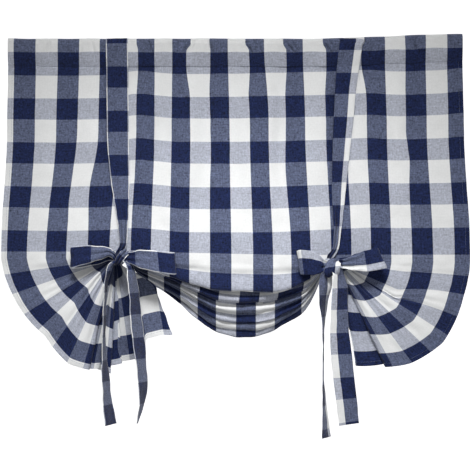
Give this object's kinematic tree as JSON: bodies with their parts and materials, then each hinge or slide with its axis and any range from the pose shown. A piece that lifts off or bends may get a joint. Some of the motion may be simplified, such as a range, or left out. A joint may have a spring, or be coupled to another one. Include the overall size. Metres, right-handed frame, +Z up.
{
  "type": "window valance",
  "caption": "Tie-up window valance in checked cotton: rod pocket on top, straps tied in bows, a draped swag between fanned sides.",
  "frame": {"origin": "middle of the valance's top edge, straight above the line of the rod that its pocket takes", "axes": "+Z up, +X to the viewer's right along the rod, +Y away from the viewer through the cloth"},
  "size_m": [1.067, 0.1105, 0.9121],
  "materials": {
    "check_cotton_heading": "matte yarn-dyed plain weave, navy and off-white check",
    "check_cotton_panel": "matte yarn-dyed plain weave, navy and off-white check",
    "check_cotton_straps": "matte yarn-dyed plain weave, navy and slate check"
  },
  "bodies": {
    "root": {"rod_pocket": "check_cotton_heading", "panel": "check_cotton_panel", "strap_front_left": "check_cotton_straps", "strap_back_left": "check_cotton_straps", "strap_front_right": "check_cotton_straps", "strap_back_right": "check_cotton_straps"}
  },
  "joints": []
}
